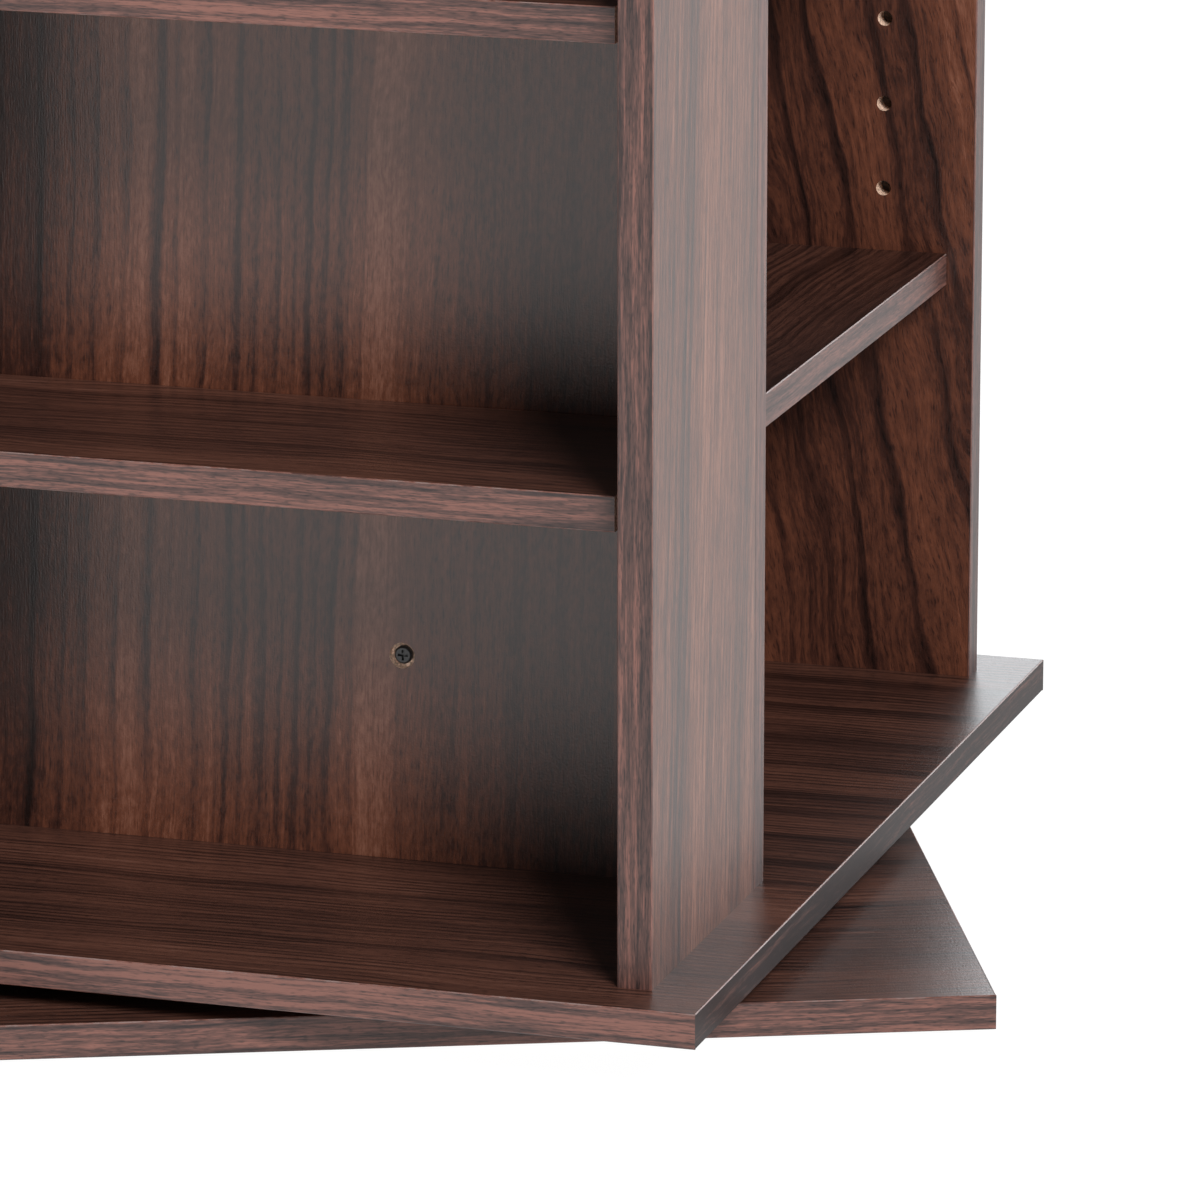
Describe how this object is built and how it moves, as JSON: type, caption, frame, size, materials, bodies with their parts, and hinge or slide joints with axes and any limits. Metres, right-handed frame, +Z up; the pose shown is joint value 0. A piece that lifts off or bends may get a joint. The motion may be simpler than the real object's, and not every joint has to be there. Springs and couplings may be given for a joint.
{
  "type": "rotating media tower",
  "caption": "Square spinning tower for discs in cases: pinwheel compartments on all sides with adjustable shelves, between square plates on a ball-bearing turntable.",
  "frame": {"origin": "on the floor at the spin axis, under the centre of the base plate", "axes": "+Z up along the spin axis; the front compartment opens towards -Y, the right one towards +X; the base plate is turned 23 degrees about +Z under the body"},
  "size_m": [0.7658, 0.7658, 1.2485],
  "materials": {
    "laminate_plate": "satin dark walnut laminate",
    "laminate_upright": "satin dark walnut laminate",
    "laminate_shelf": "satin dark walnut laminate",
    "edge_band": "satin walnut-grain edge band",
    "glide_plastic": "matte",
    "zinc_steel": "zinc-plated",
    "ball_steel": "polished",
    "retainer_nylon": "matte",
    "support_steel": "nickel-plated",
    "black_screw": "black-coated",
    "dowel_beech": "raw",
    "cam_zinc": "die-cast",
    "cap_plastic": "matte brown"
  },
  "bodies": {
    "base": {"base_plate": "laminate_plate", "base_plate_edge_bands": "edge_band", "base_glides": "glide_plastic", "turntable_lower_plate": "zinc_steel", "turntable_lower_screws": "zinc_steel"},
    "ball_ring": {"turntable_balls": "ball_steel", "turntable_ball_retainer": "retainer_nylon"},
    "tower": {"turntable_upper_plate": "zinc_steel", "turntable_upper_screws": "zinc_steel", "bottom_panel": "laminate_plate", "bottom_panel_edge_bands": "edge_band", "top_panel": "laminate_plate", "top_panel_edge_bands": "edge_band", "back_panel_front": "laminate_upright", "back_panel_right": "laminate_upright", "back_panel_rear": "laminate_upright", "back_panel_left": "laminate_upright", "side_panel_front": "laminate_upright", "side_panel_right": "laminate_upright", "side_panel_rear": "laminate_upright", "side_panel_left": "laminate_upright", "back_panel_edge_bands": "edge_band", "side_panel_edge_bands": "edge_band", "shelf_supports_front": "support_steel", "shelf_supports_right": "support_steel", "shelf_supports_rear": "support_steel", "shelf_supports_left": "support_steel", "back_panel_screws": "black_screw", "side_panel_screws": "black_screw", "bottom_panel_screws": "black_screw", "dowels_bottom": "dowel_beech", "dowels_top": "dowel_beech", "cam_bolts": "zinc_steel", "cam_locks": "cam_zinc", "cam_caps": "cap_plastic"},
    "shelf_front_1": {"shelf_front_1": "laminate_shelf"},
    "shelf_front_2": {"shelf_front_2": "laminate_shelf"},
    "shelf_front_3": {"shelf_front_3": "laminate_shelf"},
    "shelf_front_4": {"shelf_front_4": "laminate_shelf"},
    "shelf_front_5": {"shelf_front_5": "laminate_shelf"},
    "shelf_right_1": {"shelf_right_1": "laminate_shelf"},
    "shelf_right_2": {"shelf_right_2": "laminate_shelf"},
    "shelf_right_3": {"shelf_right_3": "laminate_shelf"},
    "shelf_right_4": {"shelf_right_4": "laminate_shelf"},
    "shelf_right_5": {"shelf_right_5": "laminate_shelf"},
    "shelf_rear_1": {"shelf_rear_1": "laminate_shelf"},
    "shelf_rear_2": {"shelf_rear_2": "laminate_shelf"},
    "shelf_rear_3": {"shelf_rear_3": "laminate_shelf"},
    "shelf_rear_4": {"shelf_rear_4": "laminate_shelf"},
    "shelf_rear_5": {"shelf_rear_5": "laminate_shelf"},
    "shelf_left_1": {"shelf_left_1": "laminate_shelf"},
    "shelf_left_2": {"shelf_left_2": "laminate_shelf"},
    "shelf_left_3": {"shelf_left_3": "laminate_shelf"},
    "shelf_left_4": {"shelf_left_4": "laminate_shelf"},
    "shelf_left_5": {"shelf_left_5": "laminate_shelf"}
  },
  "joints": [
    {"name": "tower_spin", "type": "hinge", "parent": "base", "child": "tower", "pos_m": [0, 0, 0.02375], "axis": [0, 0, 1], "continuous": true},
    {"name": "ball_ring_spin", "type": "hinge", "parent": "base", "child": "ball_ring", "pos_m": [0, 0, 0.02375], "axis": [0, 0, 1], "continuous": true},
    {"name": "shelf_front_1_slide", "type": "slide", "parent": "tower", "child": "shelf_front_1", "axis": [0, -1, 0], "range_m": [0, 0.15]},
    {"name": "shelf_front_2_slide", "type": "slide", "parent": "tower", "child": "shelf_front_2", "axis": [0, -1, 0], "range_m": [0, 0.15]},
    {"name": "shelf_front_3_slide", "type": "slide", "parent": "tower", "child": "shelf_front_3", "axis": [0, -1, 0], "range_m": [0, 0.15]},
    {"name": "shelf_front_4_slide", "type": "slide", "parent": "tower", "child": "shelf_front_4", "axis": [0, -1, 0], "range_m": [0, 0.15]},
    {"name": "shelf_front_5_slide", "type": "slide", "parent": "tower", "child": "shelf_front_5", "axis": [0, -1, 0], "range_m": [0, 0.15]},
    {"name": "shelf_right_1_slide", "type": "slide", "parent": "tower", "child": "shelf_right_1", "axis": [1, 0, 0], "range_m": [0, 0.15]},
    {"name": "shelf_right_2_slide", "type": "slide", "parent": "tower", "child": "shelf_right_2", "axis": [1, 0, 0], "range_m": [0, 0.15]},
    {"name": "shelf_right_3_slide", "type": "slide", "parent": "tower", "child": "shelf_right_3", "axis": [1, 0, 0], "range_m": [0, 0.15]},
    {"name": "shelf_right_4_slide", "type": "slide", "parent": "tower", "child": "shelf_right_4", "axis": [1, 0, 0], "range_m": [0, 0.15]},
    {"name": "shelf_right_5_slide", "type": "slide", "parent": "tower", "child": "shelf_right_5", "axis": [1, 0, 0], "range_m": [0, 0.15]},
    {"name": "shelf_rear_1_slide", "type": "slide", "parent": "tower", "child": "shelf_rear_1", "axis": [0, 1, 0], "range_m": [0, 0.15]},
    {"name": "shelf_rear_2_slide", "type": "slide", "parent": "tower", "child": "shelf_rear_2", "axis": [0, 1, 0], "range_m": [0, 0.15]},
    {"name": "shelf_rear_3_slide", "type": "slide", "parent": "tower", "child": "shelf_rear_3", "axis": [0, 1, 0], "range_m": [0, 0.15]},
    {"name": "shelf_rear_4_slide", "type": "slide", "parent": "tower", "child": "shelf_rear_4", "axis": [0, 1, 0], "range_m": [0, 0.15]},
    {"name": "shelf_rear_5_slide", "type": "slide", "parent": "tower", "child": "shelf_rear_5", "axis": [0, 1, 0], "range_m": [0, 0.15]},
    {"name": "shelf_left_1_slide", "type": "slide", "parent": "tower", "child": "shelf_left_1", "axis": [-1, 0, 0], "range_m": [0, 0.15]},
    {"name": "shelf_left_2_slide", "type": "slide", "parent": "tower", "child": "shelf_left_2", "axis": [-1, 0, 0], "range_m": [0, 0.15]},
    {"name": "shelf_left_3_slide", "type": "slide", "parent": "tower", "child": "shelf_left_3", "axis": [-1, 0, 0], "range_m": [0, 0.15]},
    {"name": "shelf_left_4_slide", "type": "slide", "parent": "tower", "child": "shelf_left_4", "axis": [-1, 0, 0], "range_m": [0, 0.15]},
    {"name": "shelf_left_5_slide", "type": "slide", "parent": "tower", "child": "shelf_left_5", "axis": [-1, 0, 0], "range_m": [0, 0.15]}
  ],
  "couplings": [
    {"joint": "ball_ring_spin", "follows": "tower_spin", "ratio": 0.5}
  ]
}
